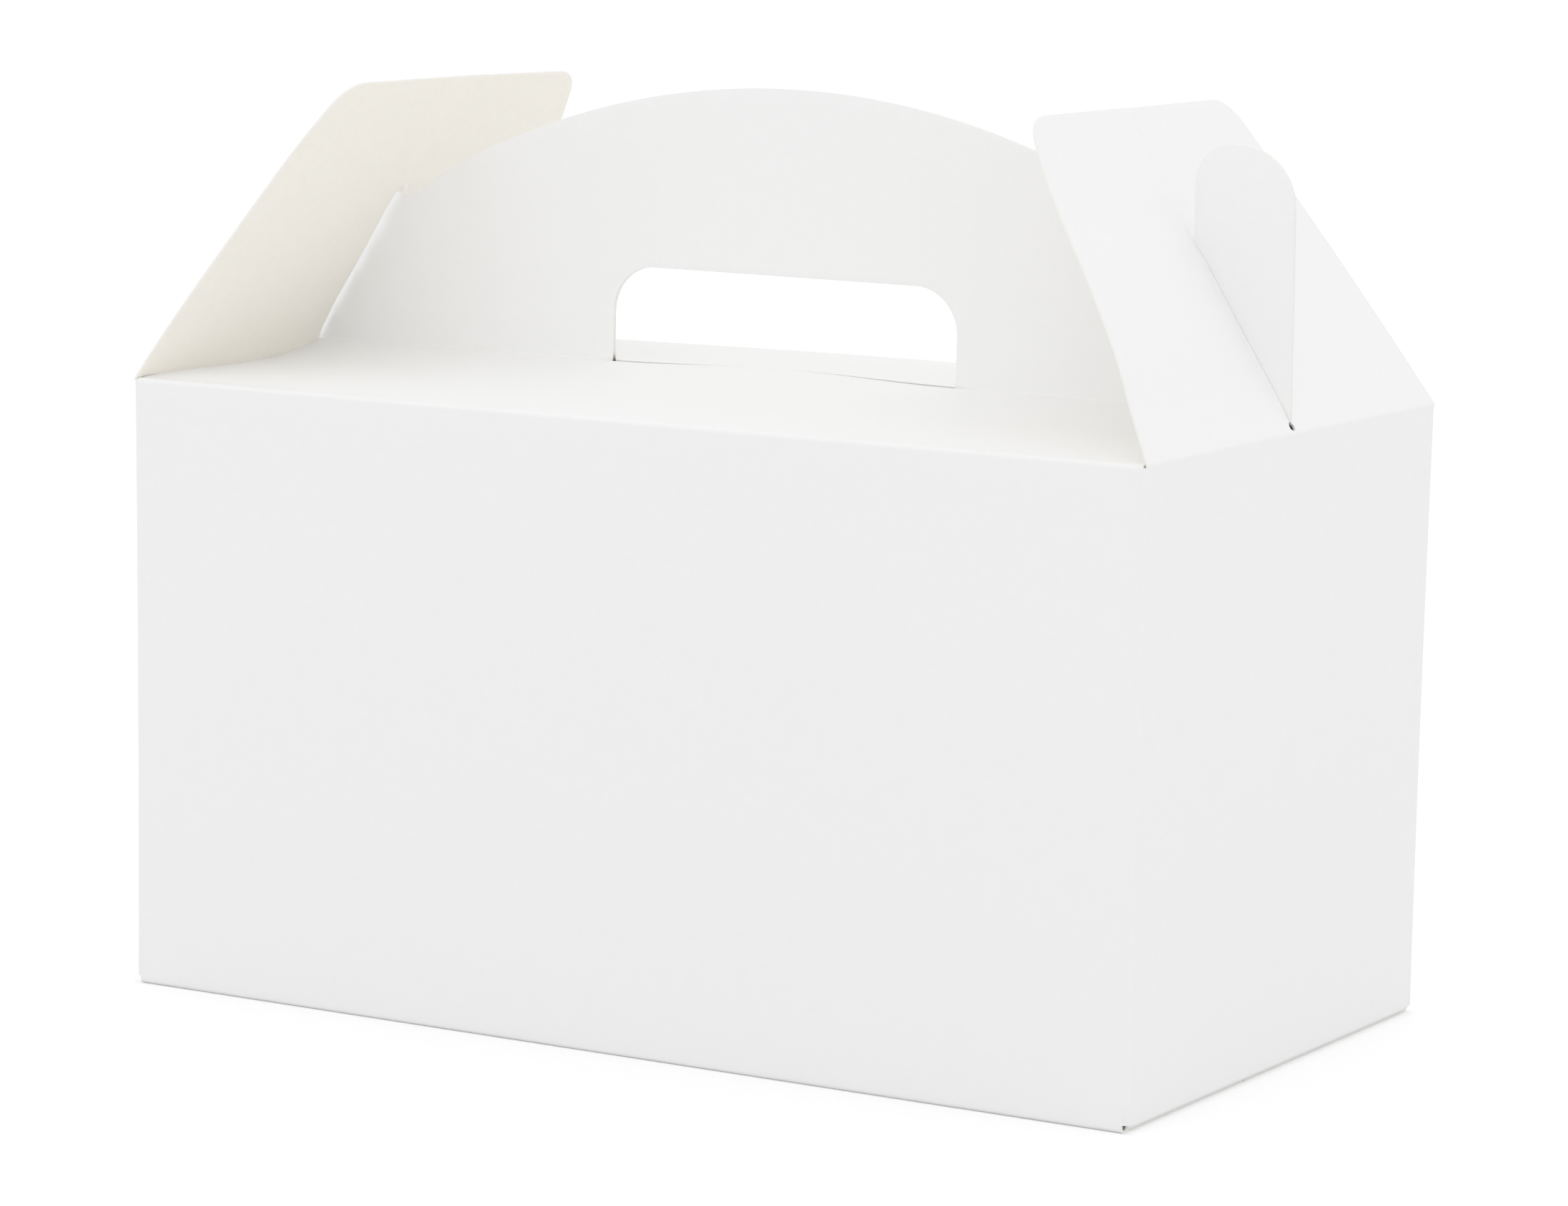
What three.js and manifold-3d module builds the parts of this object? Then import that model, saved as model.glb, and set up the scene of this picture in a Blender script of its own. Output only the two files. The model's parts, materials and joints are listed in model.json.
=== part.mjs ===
// Gable box folded from one sheet of white paperboard: four walls, a hooked bottom, two roof panels,
// a two-layer carrying handle, and two wings that lean inwards and lock over the handle's ears.
// Millimetres. +X runs along the box, +Y across it, +Z up, with the origin at the middle of the bottom.

import * as THREE from 'three';
import { mergeVertices } from 'three/addons/utils/BufferGeometryUtils.js';
import Module from 'manifold-3d';

const wasm = await Module();
wasm.setup();

// Box body
const length = 228.6;
const width = 127;
const wallHeight = 125;
const board = 0.5; // thickness of the sheet
const clearance = 0.3; // gap between pieces that move or only touch
const foldRadius = 1; // outside radius of a creased fold

// Roof and handle
const roofRise = 3.4; // height of the handle's fold above the walls
const handleFoldRadius = 0.75; // outside radius of the fold between roof and handle
const handleHeight = 57.3; // top of the arch above the handle's fold
const archRadius = 172;
const holeLength = 80.4; // hand hole, cut down to the handle's fold
const holeHeight = 19.7;
const holeCornerRadius = 9.5;

// Ears, the two ends of the handle that stand outside the wings
const earHeight = 51.2; // top of an ear above the handle's fold
const earInset = 0.95; // from the end wall's outside face to the ear's outer edge
const earDrop = 1; // how far an ear reaches below the handle's fold
const earInnerRadius = 8;
const earOuterRadius = 12;

// Wings
const wingLean = THREE.MathUtils.degToRad(32.5); // from upright, towards the middle of the box
const wingHeight = 71; // along the wing, from its fold to its top edge
const wingTopWidth = 84; // between the corners before they are rounded
const wingSideBow = 1; // how far the tapered sides bow outwards
const wingCornerRadius = 8.5;
const slitLength = 42.2;

// Bottom and glued seam
const seamGap = 0.4; // between the two main bottom flaps
const hookDepth = 12; // how far each main flap's hook crosses the middle
const hookRun = 36; // length over which the seam swaps sides
const endFlapDepth = 62;
const endFlapTaper = 22;
const glueFlapWidth = 16;
const glueFlapInset = 4; // from the bottom and from the top of the wall

// Sizes that follow from the ones above
const halfLength = length / 2;
const halfWidth = width / 2;
const foldZ = wallHeight + roofRise;
const handleTopZ = foldZ + handleHeight;
const earTopZ = foldZ + earHeight;
const layerY = clearance / 2 + board / 2; // middle of each handle layer
const hingeX = halfLength - board / 2;
const hingeZ = wallHeight;
const endWallTopZ = hingeZ - board / 2 - clearance;
const slitHalfWidth = clearance / 2 + board + clearance;
const wingBaseHalfWidth = halfWidth - clearance;
const overlap = 1; // how far pieces of the same sheet run into each other where they join
const arcSteps = 5;

// Axes for an outline that is extruded: its own x and y, and the direction it is extruded in
const alongLength = new THREE.Matrix4().makeBasis(
  new THREE.Vector3(0, 1, 0),
  new THREE.Vector3(0, 0, 1),
  new THREE.Vector3(1, 0, 0),
);
const acrossWidth = new THREE.Matrix4().makeBasis(
  new THREE.Vector3(1, 0, 0),
  new THREE.Vector3(0, 0, 1),
  new THREE.Vector3(0, -1, 0),
);
const upwards = new THREE.Matrix4();

function toSolid(geometry) {
  const bare = geometry.index ? geometry.toNonIndexed() : geometry.clone();
  bare.deleteAttribute('normal');
  bare.deleteAttribute('uv');
  const merged = mergeVertices(bare, 1e-4);
  return new wasm.Manifold(new wasm.Mesh({
    numProp: 3,
    vertProperties: new Float32Array(merged.attributes.position.array),
    triVerts: new Uint32Array(merged.index.array),
  }));
}

function toGeometry(solid) {
  const mesh = solid.getMesh();
  const geometry = new THREE.BufferGeometry();
  geometry.setAttribute('position', new THREE.BufferAttribute(mesh.vertProperties.slice(), 3));
  geometry.setIndex(new THREE.BufferAttribute(mesh.triVerts.slice(), 1));
  geometry.computeVertexNormals();
  return geometry;
}

// Solid of an outline, extruded from one distance to another along the direction of its axes.
function prism(outline, from, to, axes) {
  const geometry = new THREE.ExtrudeGeometry(new THREE.Shape(outline), {
    depth: to - from,
    bevelEnabled: false,
  });
  geometry.translate(0, 0, from);
  geometry.applyMatrix4(axes);
  return toSolid(geometry);
}

function point(x, y) {
  return new THREE.Vector2(x, y);
}

function mirrored(points) {
  return points.map((p) => point(-p.x, p.y)).reverse();
}

// Points on an arc, with its angles in degrees, ends included.
function arc(centreX, centreY, radius, startDegrees, endDegrees, steps = arcSteps) {
  const points = [];
  for (let step = 0; step <= steps; step += 1) {
    const angle = THREE.MathUtils.degToRad(
      THREE.MathUtils.lerp(startDegrees, endDegrees, step / steps),
    );
    points.push(point(centreX + radius * Math.cos(angle), centreY + radius * Math.sin(angle)));
  }
  return points;
}

// Outline of a sheet of even thickness whose middle follows a path.
function sheetOutline(path) {
  const left = [];
  const right = [];
  path.forEach((here, index) => {
    const before = path[Math.max(index - 1, 0)];
    const after = path[Math.min(index + 1, path.length - 1)];
    const into = here.clone().sub(before).normalize();
    const out = after.clone().sub(here).normalize();
    const along = into.clone().add(out).normalize();
    const side = point(-along.y, along.x);
    const straight = index === 0 || index === path.length - 1;
    const stretch = straight ? 1 : 1 / Math.sqrt((1 + into.dot(out)) / 2);
    left.push(here.clone().addScaledVector(side, (board / 2) * stretch));
    right.push(here.clone().addScaledVector(side, (-board / 2) * stretch));
  });
  return [...left, ...right.reverse()];
}

// Rise of a roof panel above the wall, from 0 at the wall to 1 at the handle. The panel springs up
// at both folds and lies nearly level between them.
function roofHeight(share) {
  return roofRise * (3 * share - 6 * share ** 2 + 4 * share ** 3);
}

// Middle of the sheet on the +Y side: bottom fold, wall, top fold, roof panel and handle fold.
function sidePath() {
  const bend = foldRadius - board / 2;
  const handleBend = handleFoldRadius - board / 2;
  const outerY = halfWidth - foldRadius;
  const innerY = layerY + handleBend;
  const roofSteps = 12;
  const roof = [];
  for (let step = 1; step < roofSteps; step += 1) {
    const share = step / roofSteps;
    const y = THREE.MathUtils.lerp(outerY, innerY, share);
    roof.push(point(y, wallHeight - board / 2 + roofHeight(share)));
  }
  return [
    point(outerY - overlap, board / 2),
    ...arc(outerY, foldRadius, bend, -90, 0),
    ...arc(outerY, wallHeight - foldRadius, bend, 0, 90),
    ...roof,
    ...arc(innerY, foldZ - board / 2 + handleBend, handleBend, -90, -180),
    point(layerY, foldZ + overlap),
  ];
}

// Everything that would come within the clearance of a wing's inner face, at both ends.
function wingRoom() {
  const reach = (board / 2 + clearance) / Math.cos(wingLean);
  const insideX = (z) => hingeX - (z - hingeZ) * Math.tan(wingLean) - reach;
  const highZ = foldZ + 2 * overlap;
  const outline = [
    point(insideX(endWallTopZ), endWallTopZ),
    point(length, endWallTopZ),
    point(length, highZ),
    point(insideX(highZ), highZ),
  ];
  const end = prism(outline, -width, width, acrossWidth);
  return end.add(prism(mirrored(outline), -width, width, acrossWidth));
}

// Long walls with their bottom folds, roof panels and the start of the handle.
function sides() {
  const outline = sheetOutline(sidePath());
  const reach = halfLength - foldRadius;
  const back = prism(outline, -reach, reach, alongLength);
  const front = prism(mirrored(outline), -reach, reach, alongLength);
  return back.add(front).subtract(wingRoom());
}

// End walls, each with its bottom flap folded in above the main flaps.
function ends() {
  const bend = foldRadius - board / 2;
  const flapZ = board * 1.5;
  const outerX = halfLength - foldRadius;
  const path = [
    point(outerX - overlap, flapZ),
    ...arc(outerX, flapZ + bend, bend, -90, 0),
    point(hingeX, endWallTopZ),
  ];
  const wall = sheetOutline(path);
  const reach = halfWidth - foldRadius;
  return prism(wall, -reach, reach, acrossWidth)
    .add(prism(mirrored(wall), -reach, reach, acrossWidth));
}

// The four upright folds between the walls.
function uprightFolds() {
  const bend = foldRadius - board / 2;
  const centreX = halfLength - foldRadius;
  const centreY = halfWidth - foldRadius;
  const path = [
    point(centreX + bend, centreY - overlap),
    ...arc(centreX, centreY, bend, 0, 90),
    point(centreX - overlap, centreY + bend),
  ];
  const corner = prism(sheetOutline(path), foldRadius, endWallTopZ, upwards);
  const right = corner.add(corner.mirror([0, 1, 0]));
  return right.add(right.mirror([1, 0, 0]));
}

// The two main bottom flaps. Their seam swaps sides in the middle, so that each hooks under the other.
function mainFlaps() {
  const seamSteps = 16;
  const reachX = halfLength - foldRadius;
  const outerY = halfWidth - foldRadius + board / 2;
  const seam = [];
  for (let step = 0; step <= seamSteps; step += 1) {
    const share = step / seamSteps;
    const x = THREE.MathUtils.lerp(-hookRun / 2, hookRun / 2, share);
    seam.push(point(x, hookDepth * Math.cos(Math.PI * share)));
  }
  const edge = (offset) => [
    point(-reachX, hookDepth + offset),
    ...seam.map((p) => point(p.x, p.y + offset)),
    point(reachX, -hookDepth + offset),
  ];
  const front = [point(reachX, -outerY), ...edge(-seamGap / 2).reverse(), point(-reachX, -outerY)];
  const back = [point(-reachX, outerY), ...edge(seamGap / 2), point(reachX, outerY)];
  return prism(front, 0, board, upwards).add(prism(back, 0, board, upwards));
}

// The two end flaps of the bottom, glued on top of the main flaps.
function endFlaps() {
  const outerX = halfLength - foldRadius;
  const innerX = halfLength - endFlapDepth;
  const outerY = halfWidth - foldRadius - board;
  const sink = board / 4; // into the main flaps, where they are glued
  const outline = [
    point(outerX, -outerY),
    point(outerX, outerY),
    point(innerX, outerY - endFlapTaper),
    point(innerX, -outerY + endFlapTaper),
  ];
  return prism(outline, board - sink, 2 * board, upwards)
    .add(prism(mirrored(outline), board - sink, 2 * board, upwards));
}

// Flap inside the back wall, where the two ends of the sheet are glued together.
function glueFlap() {
  const outerX = halfLength - foldRadius;
  const innerX = outerX - glueFlapWidth;
  const outline = [
    point(innerX, halfWidth - 2 * board),
    point(outerX, halfWidth - 2 * board),
    point(outerX, halfWidth - board / 2),
    point(innerX, halfWidth - board / 2),
  ];
  return prism(outline, glueFlapInset, wallHeight - glueFlapInset, upwards);
}

// Outline of the handle's +X half, from the middle of its bottom edge to the top of its arch.
function halfHandle() {
  const slitTopX = hingeX - slitLength * Math.sin(wingLean);
  const slitTopZ = hingeZ + slitLength * Math.cos(wingLean);
  const earInnerX = slitTopX + (board / 2) * Math.cos(wingLean) + clearance;
  const notchZ = slitTopZ - (board / 2) * Math.sin(wingLean) - clearance;
  const earOuterX = halfLength - earInset;
  const roofEndX = hingeX - roofRise * Math.tan(wingLean)
    - (board / 2 + clearance) / Math.cos(wingLean);
  const archCentreZ = handleTopZ - archRadius;
  const notchAngle = THREE.MathUtils.radToDeg(Math.asin((notchZ - archCentreZ) / archRadius));
  const archSteps = 18;
  return [
    point(0, foldZ),
    point(roofEndX, foldZ),
    point(roofEndX, foldZ - earDrop),
    point(earOuterX, foldZ - earDrop),
    ...arc(earOuterX - earOuterRadius, earTopZ - earOuterRadius, earOuterRadius, 0, 90),
    ...arc(earInnerX + earInnerRadius, earTopZ - earInnerRadius, earInnerRadius, 90, 180),
    point(earInnerX, notchZ),
    ...arc(0, archCentreZ, archRadius, notchAngle, 90, archSteps),
  ];
}

function handHole() {
  const reach = holeLength / 2;
  const topZ = foldZ + holeHeight;
  const half = [
    point(reach, foldZ),
    ...arc(reach - holeCornerRadius, topZ - holeCornerRadius, holeCornerRadius, 0, 90),
  ];
  return prism([...half, ...mirrored(half)], -overlap - board, overlap + board, acrossWidth);
}

// The two layers of the handle, one from each roof panel.
function handle() {
  const half = halfHandle();
  const otherHalf = mirrored(half).slice(1, -1);
  const outline = [...half, ...otherHalf];
  const layer = prism(outline, layerY - board / 2, layerY + board / 2, acrossWidth);
  return layer.add(layer.mirror([0, 1, 0]));
}

function boxBody() {
  return sides()
    .add(ends())
    .add(uprightFolds())
    .add(mainFlaps())
    .add(endFlaps())
    .add(glueFlap())
    .add(handle())
    .subtract(handHole());
}

// Outline of a wing in its own plane, from below its fold to its top edge.
function wingOutline() {
  const base = point(wingBaseHalfWidth, 0);
  const side = point(wingTopWidth / 2, wingHeight).sub(base);
  const sideDegrees = THREE.MathUtils.radToDeg(side.angle());
  const turn = Math.PI - side.angle();
  const centreY = wingTopWidth / 2 - wingCornerRadius * Math.tan(turn / 2);
  const centreZ = wingHeight - wingCornerRadius;
  const corner = arc(centreY, centreZ, wingCornerRadius, sideDegrees - 90, 90);
  const outward = point(side.y, -side.x).normalize();
  const bow = base.clone().add(corner[0]).divideScalar(2).addScaledVector(outward, 2 * wingSideBow);
  const sideEdge = new THREE.QuadraticBezierCurve(base, bow, corner[0]).getPoints(8);
  const half = [point(wingBaseHalfWidth, -board), ...sideEdge, ...corner.slice(1)];
  return [...half, ...mirrored(half)];
}

// A wing standing upright on its fold, with a round lower edge that turns about the fold.
function wing() {
  const section = [
    point(board / 2, wingHeight + overlap),
    point(-board / 2, wingHeight + overlap),
    ...arc(0, 0, board / 2, 180, 360),
  ];
  const slit = [
    point(-slitHalfWidth, -board),
    point(slitHalfWidth, -board),
    point(slitHalfWidth, slitLength),
    point(-slitHalfWidth, slitLength),
  ];
  return prism(section, -halfWidth, halfWidth, acrossWidth)
    .intersect(prism(wingOutline(), -board, board, alongLength))
    .subtract(prism(slit, -board, board, alongLength));
}

const paperboard = new THREE.MeshStandardMaterial({ color: 0xf1f1ef, roughness: 0.8, metalness: 0 });

function part(name, solid) {
  const mesh = new THREE.Mesh(toGeometry(solid), paperboard);
  mesh.name = name;
  return mesh;
}

const gableBox = new THREE.Group();
gableBox.add(part('box_body', boxBody()));
for (const [name, side] of [['wing_left', -1], ['wing_right', 1]]) {
  const mesh = part(name, wing());
  mesh.position.set(side * hingeX, 0, hingeZ);
  mesh.rotation.y = -side * wingLean;
  gableBox.add(mesh);
}

export default gableBox;
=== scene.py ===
"""
Looks of the gable box: one folded sheet of paperboard, white outside and cream inside,
with two locking wings.

The board is built as a thin middle surface: flat outlines are folded along paths, and the sheet
is then given its thickness. Sizes are in millimetres until a mesh is made; Blender's own units
are metres.
"""

import json
import math

import bmesh
import bpy
import numpy as np
from mathutils import Matrix, Vector
from mathutils.geometry import delaunay_2d_cdt

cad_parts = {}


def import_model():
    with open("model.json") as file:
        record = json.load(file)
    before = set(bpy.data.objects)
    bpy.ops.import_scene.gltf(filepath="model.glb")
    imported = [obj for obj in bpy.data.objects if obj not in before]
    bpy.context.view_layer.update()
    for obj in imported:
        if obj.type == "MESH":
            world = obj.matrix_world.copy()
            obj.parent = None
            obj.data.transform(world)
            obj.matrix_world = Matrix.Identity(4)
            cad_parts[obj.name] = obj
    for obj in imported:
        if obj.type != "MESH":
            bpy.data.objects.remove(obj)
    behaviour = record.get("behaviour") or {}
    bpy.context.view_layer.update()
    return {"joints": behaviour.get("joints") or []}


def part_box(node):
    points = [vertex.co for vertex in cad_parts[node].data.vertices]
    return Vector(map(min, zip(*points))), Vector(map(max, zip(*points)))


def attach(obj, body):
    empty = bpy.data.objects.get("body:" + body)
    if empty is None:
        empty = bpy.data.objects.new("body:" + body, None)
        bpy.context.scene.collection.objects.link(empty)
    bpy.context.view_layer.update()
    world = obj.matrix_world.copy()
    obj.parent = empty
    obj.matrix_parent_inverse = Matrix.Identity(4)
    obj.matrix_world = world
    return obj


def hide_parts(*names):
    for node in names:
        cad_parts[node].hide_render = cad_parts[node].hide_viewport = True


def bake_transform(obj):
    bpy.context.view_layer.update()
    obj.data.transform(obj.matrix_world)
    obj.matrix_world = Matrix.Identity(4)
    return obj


MM = 0.001
LEFT, RIGHT = -1, 1
FRONT, BACK = -1, 1
WINGS = {LEFT: "wing_left", RIGHT: "wing_right"}

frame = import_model()

# Sizes that the frame gives
body_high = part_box("box_body")[1]
wing_hinge = next(j["pos_m"] for j in frame["joints"] if j["name"] == "wing_right_fold")
HALF_LENGTH = body_high[0] / MM
HALF_WIDTH = body_high[1] / MM
ARCH_TOP = body_high[2] / MM
HINGE_X = wing_hinge[0] / MM
HINGE_Z = wing_hinge[2] / MM

# Board
BOARD = 0.5
FOLD_RADIUS = 1.0
CLEARANCE = 0.3
END_WALL_TOP = HINGE_Z - BOARD / 2 - CLEARANCE

# Cut edges sharper than the first angle are rounded, and folds sharper than the second are shaded sharp
EDGE_BEVEL = 0.05
BEVEL_STEPS = 2
ROUNDED_ANGLE = math.radians(60)
SHARP_ANGLE = math.radians(40)

# Roof and handle
ROOF_RISE = 3.4
FOLD_Z = HINGE_Z + ROOF_RISE
HANDLE_BEND = 0.5
LAYER_Y = 0.3
ARCH_RADIUS = 172.0
HOLE_HALF_LENGTH = 40.2
HOLE_HEIGHT = 19.7
HOLE_CORNER = 9.5
EAR_TOP = FOLD_Z + 51.2
EAR_DROP = 1.6
EAR_INNER_RADIUS = 8.0
EAR_OUTER_RADIUS = 12.0
EAR_ROOT_GAP = 0.1

# How far each roof panel stands up at the middle of the hand hole, and how far down the roof that reaches
HOLE_EDGE_POP = {FRONT: 1.1, BACK: 0.8}
HOLE_EDGE_REACH = 14.0

# Bow of the back roof panel at its middle
BACK_ROOF_BOW = 1.7

# Wings
WING_LEAN = math.radians(32.5)
WING_HEIGHT = 71.0
WING_SHORTFALL = {"wing_left": 0.7, "wing_right": 0.0}
WING_HALF_TOP = 42.0
WING_SIDE_BOW = 1.0
WING_CORNER = 8.5
WING_CREASE = 1.0
SLIT_LENGTH = {"wing_left": 40.9, "wing_right": 42.2}
SLIT_HALF_WIDTH = 0.95
SLIT_FRONT = {"wing_left": (0.95, 1.7), "wing_right": (0.62, 0.62)}
RELIEF_RADIUS = 1.0
RELIEF_HEIGHT = 1.3
RELIEF_ARC = (50, -230)

# The slit's straight edges start this far above the middle of its relief hole and end this far
# below its top, which narrows to a share of its width just under the top
SLIT_FOOT = 1.2
SLIT_ROUND = 0.5
SLIT_SHOULDER = 0.1
SLIT_SHOULDER_SHARE = 0.6

# How far the worked board stands out from its plain folded shape: the end walls at their top
# corners, and each wing along its slit and its edges, as pairs of a height on the wing and a distance
END_FLARE = 0.8
WING_BOWS = {
    "wing_left": {
        "slit_front": ((0, 0.0), (3.5, 1.6), (8, 2.0), (25, 1.9), (42, 1.9), (71, 1.5)),
        "slit_back": ((0, 0.0), (21, 0.6), (42, 1.9), (71, 1.5)),
        "front": ((0, 0.0), (5, 0.3), (20, 0.9), (36, 1.3), (55, 1.8), (71, 1.4)),
        "back": ((0, 0.0), (36, 0.4), (71, 0.6)),
    },
    "wing_right": {
        "slit_front": ((0, 0.0), (42, 0.0), (71, 1.1)),
        "slit_back": ((0, 0.0), (12, -0.9), (38, -0.9), (42, -0.6), (56, -0.3), (71, 0.9)),
        "front": ((0, 0.0), (10, 0.9), (20, 2.0), (30, 2.1), (39, 1.8), (50, 1.0), (60, 0.7), (71, 1.1)),
        "back": ((0, 0.0), (36, 0.6), (71, 1.0)),
    },
}

# A wing's bow sets in over the first height above its fold. Beside the slit it passes from the
# slit's bow to the edge's within the reach, and above the slit it does so evenly.
WING_BOW_START = 2.5
BOW_REACH = {"wing_left": 25.0, "wing_right": 8.0}
SLIT_END_REACH = 6.0

# Raised lip along the front edge of each slit, which fades out at the slit's two ends
LIP_HEIGHT = {"wing_left": 0.2, "wing_right": 0.6}
LIP_REACH = {"wing_left": 0.7, "wing_right": 0.55}
LIP_FADE = 5.0

# How much further out than the leaning wing the roof reaches at the handle, and its furthest point
ROOF_REACH = {LEFT: 3.2, RIGHT: 0.0}
ROOF_MOST_X = {LEFT: 114.0, RIGHT: 113.3}

# Outer edge of each ear, its slope to the back outside the wing, where the slit turns it,
# and how far outside the wing that turn starts at the roof
EAR_OUTER_X = {LEFT: 114.2, RIGHT: 113.35}
EAR_TURN = {LEFT: 0.35, RIGHT: -0.03}
EAR_TURN_START = {LEFT: 1.3, RIGHT: 0.0}

# Dip of the front roof panel beside each wing, and how far along the roof it reaches
ROOF_SAG = {LEFT: 1.5, RIGHT: 0.0}
ROOF_SAG_REACH = 30.0

# Bottom
SEAM_GAP = 0.4
HOOK_DEPTH = 12.0
HOOK_RUN = 36.0
END_FLAP_DEPTH = 62.0
END_FLAP_TAPER = 22.0
GLUE_FLAP_WIDTH = 16.0
GLUE_FLAP_INSET = 4.0
GLUE_FLAP_TAPER = 5.0
FLAP_REST = 0.03
FLAP_CORNER_REACH = 1.0
FLAP_OVERRUN = 2.0

# Fineness of the sheet: steps in millimetres along its rows and edges
ROW_STEP = 5.0
COLUMN_STEP = 5.0
FINE_STEP = 2.5
WALL_STEP = 6.0
WALL_FIRST_ROW = 0.6
LAYER_FIRST_ROW = 1.5
GLUE_FLAP_STEP = 8.0
WING_ROW_STEP = 1.8
WING_COLUMN_STEP = 1.9
WING_COLUMN_START = 8.0
COLUMNS_BY_SLIT = np.array([0.2, 0.45, 0.8, 1.3, 2.0, 2.9, 4.0, 5.3])

# Numbers of steps round its curves, and of columns to each side of its middle
FOLD_STEPS = 6
ROOF_FOLD_STEPS = 8
ROOF_STEPS = 18
ARCH_STEPS = 44
EAR_OUTER_STEPS = 14
EAR_INNER_STEPS = 12
HOLE_CORNER_STEPS = 14
SEAM_STEPS = 90
CREASE_STEPS = 8
WING_CORNER_STEPS = 12
WING_SIDE_STEPS = 35
SLIT_STEPS = 39
RELIEF_STEPS = 20
SIDE_COLUMNS = 22
END_COLUMNS = 12

# How far the inner points of each sheet stay from its outline
SIDE_MARGIN = 0.6
END_MARGIN = 0.3
FOLD_MARGIN = 0.02
WING_MARGIN = 0.15

# Triangles with less than half this area, in square millimetres, are left out
SLIVER = 0.002

# Rows of a sheet are at least this far apart while its triangles are made
ROW_SPREAD = 2.0
SHEET_REACH = 1000.0

# Points this near to each other are one, lengths this near are equal, and edges have this slack.
# The last keeps a division from zero.
WELD_REACH = 0.02
TOUCH = 1e-6
EDGE_SLACK = 0.01
TINY = 1e-12

# Points this near to the seam between an end wall and its wing are set on it
SEAM_REACH = 0.12

# Cut edges this near to that seam stay sharp, where the fold's short rows leave no room for a bevel
FOLD_REACH = 1.3

# Camera, found from the photo's perspective
CAMERA_PLACE = (0.57450, -0.96977, 0.25037)
CAMERA_AZIMUTH = math.radians(30.5886)
CAMERA_ELEVATION = math.radians(8.5114)
CAMERA_ROLL = math.radians(0.9738)
CAMERA_LENS = 128.95
CAMERA_SENSOR = 36.0

# Board's looks: size of its cloudy mottle and of its fibres, and depth of the fibres
CLOUD_SCALE = 450.0
CLOUD_RANGE = (0.3, 0.7)
FIBRE_SCALE = 1400.0
FIBRE_DEPTH = 0.05

# Stage, in metres: the floor's half size, its white and its glow to the camera, and the light
FLOOR_REACH = 6.0
FLOOR_WHITE = 0.84
FLOOR_GLOW = 0.22
WORLD_LIGHT = 0.98


# Flat outlines

def arc(centre_x, centre_y, radius, start, end, steps):
    """Points on an arc, ends included. Its start and end are angles in degrees."""
    angles = np.radians(np.linspace(start, end, steps + 1))
    return [(centre_x + radius * math.cos(a), centre_y + radius * math.sin(a)) for a in angles]


def mirrored(points):
    """The points on the other side of the middle, in reverse order, so that they close an outline."""
    return [(-x, y) for x, y in reversed(points)]


def line(start, end, step):
    """Points from start to end, ends included, no further apart than step."""
    count = max(1, math.ceil(math.dist(start, end) / step))
    return [tuple(p) for p in np.linspace(start, end, count + 1)]


def polyline(corners, step):
    """The corners joined by lines, each with points no further apart than step."""
    points = [corners[0]]
    for start, end in zip(corners, corners[1:]):
        points += line(start, end, step)[1:]
    return points


def inside(points, loop):
    """For each point, whether it is inside the loop."""
    loop = np.array(loop)
    result = np.zeros(len(points), bool)
    for (x0, y0), (x1, y1) in zip(loop, np.roll(loop, -1, axis=0)):
        crosses = (y0 > points[:, 1]) != (y1 > points[:, 1])
        if y0 != y1:
            at = x0 + (points[:, 1] - y0) * (x1 - x0) / (y1 - y0)
            result ^= crosses & (points[:, 0] < at)
    return result


def distance(points, loop):
    """For each point, how far it is from the loop's nearest edge."""
    nearest = np.full(len(points), np.inf)
    loop = np.array(loop)
    for start, end in zip(loop, np.roll(loop, -1, axis=0)):
        along = end - start
        share = np.clip((points - start) @ along / max(along @ along, TINY), 0, 1)
        nearest = np.minimum(nearest, np.linalg.norm(points - start - share[:, None] * along, axis=1))
    return nearest


def signed_area(a, b, c):
    """Twice the area of flat triangles, negative where their corners run clockwise."""
    return (b - a)[..., 0] * (c - a)[..., 1] - (b - a)[..., 1] * (c - a)[..., 0]


def well_inside(points, outline, holes, margin):
    """Which points lie inside the outline and outside the holes, at least margin from them all."""
    keep = inside(points, outline)
    for hole in holes:
        keep &= ~inside(points, hole)
    for loop in (outline, *holes):
        keep &= distance(points, loop) > margin
    return keep


def fill(outline, holes=(), grid=(), margin=0.0, rows=None):
    """
    Triangles over an outline less its holes. The grid's points that lie well inside are corners too.
    Rows that lie close together, as in a fold, are spread while the triangles are made, which keeps
    these even.
    """
    grid = np.array(grid, float).reshape(-1, 2)
    grid = grid[well_inside(grid, outline, holes, margin)]
    if rows is None:
        rows = spread_rows = np.array([-SHEET_REACH, SHEET_REACH])
    else:
        steps = np.maximum(np.diff(rows), ROW_SPREAD)
        spread_rows = rows[0] + np.concatenate([[0], np.cumsum(steps)])

    def spread(points):
        return [(x, float(np.interp(y, rows, spread_rows))) for x, y in points]

    outline = spread(outline)
    holes = [spread(hole) for hole in holes]
    grid = np.array(spread(grid)).reshape(-1, 2)
    corners = []
    edges = []
    for loop in (outline, *holes):
        first = len(corners)
        corners += loop
        edges += [(first + i, first + (i + 1) % len(loop)) for i in range(len(loop))]
    corners += [tuple(p) for p in grid[well_inside(grid, outline, holes, margin)]]
    result = delaunay_2d_cdt([Vector(p) for p in corners], edges, [], 0, TOUCH)
    flat = np.array([tuple(p) for p in result[0]])
    triangles = np.array(result[2])
    areas = signed_area(*(flat[triangles[:, k]] for k in range(3)))
    triangles = triangles[np.abs(areas) > SLIVER]
    triangles = triangles[well_inside(flat[triangles].mean(axis=1), outline, holes, 0)]
    flat[:, 1] = np.interp(flat[:, 1], spread_rows, rows)
    return flat, triangles


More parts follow.
